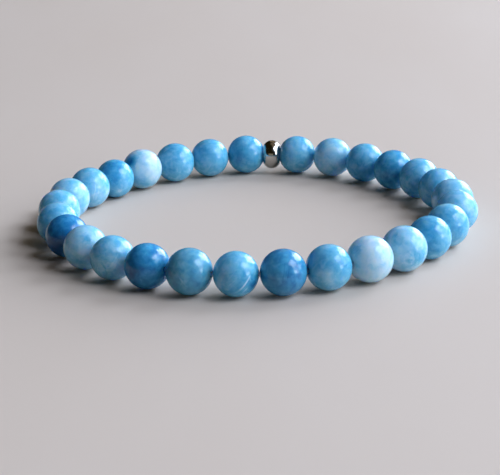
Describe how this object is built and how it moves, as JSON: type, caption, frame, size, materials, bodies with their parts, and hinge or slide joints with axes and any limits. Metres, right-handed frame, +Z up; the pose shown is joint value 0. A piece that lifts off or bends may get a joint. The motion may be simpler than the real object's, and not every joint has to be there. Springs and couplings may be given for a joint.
{
  "type": "gemstone bead bracelet",
  "caption": "Stretch bracelet of round polished blue stone beads and one small silver rondelle on an elastic cord, lying flat as a closed loop.",
  "frame": {"origin": "middle of the outline, on the surface that the bracelet lies on", "axes": "+Z up, +Y towards the silver rondelle, which is the back in the picture, +X to the right as the picture sees it"},
  "size_m": [0.0624, 0.0632, 0.0061],
  "materials": {
    "stone_milky": "polished, mottled milky white and pale blue",
    "stone_mist": "polished, mottled pale grey-blue",
    "stone_sky": "polished, mottled sky blue",
    "stone_mid": "polished, mottled mid blue",
    "stone_deep": "polished, mottled deep blue",
    "stone_dark": "polished, mottled dark blue",
    "silver": "polished silver",
    "clear_elastic": "clear stretch cord, smooth"
  },
  "bodies": {
    "root": {"bead_01": "stone_sky", "bead_02": "stone_mist", "bead_03": "stone_mid", "bead_04": "stone_deep", "bead_05": "stone_mid", "bead_06": "stone_mid", "bead_07": "stone_mist", "bead_08": "stone_sky", "bead_09": "stone_sky", "bead_10": "stone_sky", "bead_11": "stone_mist", "bead_12": "stone_milky", "bead_13": "stone_sky", "bead_14": "stone_deep", "bead_15": "stone_sky", "bead_16": "stone_mid", "bead_17": "stone_deep", "bead_18": "stone_mist", "bead_19": "stone_milky", "bead_20": "stone_dark", "bead_21": "stone_mid", "bead_22": "stone_sky", "bead_23": "stone_sky", "bead_24": "stone_sky", "bead_25": "stone_mid", "bead_26": "stone_milky", "bead_27": "stone_mid", "bead_28": "stone_sky", "bead_29": "stone_mid", "spacer_bead": "silver", "elastic_cord": "clear_elastic"}
  },
  "joints": []
}
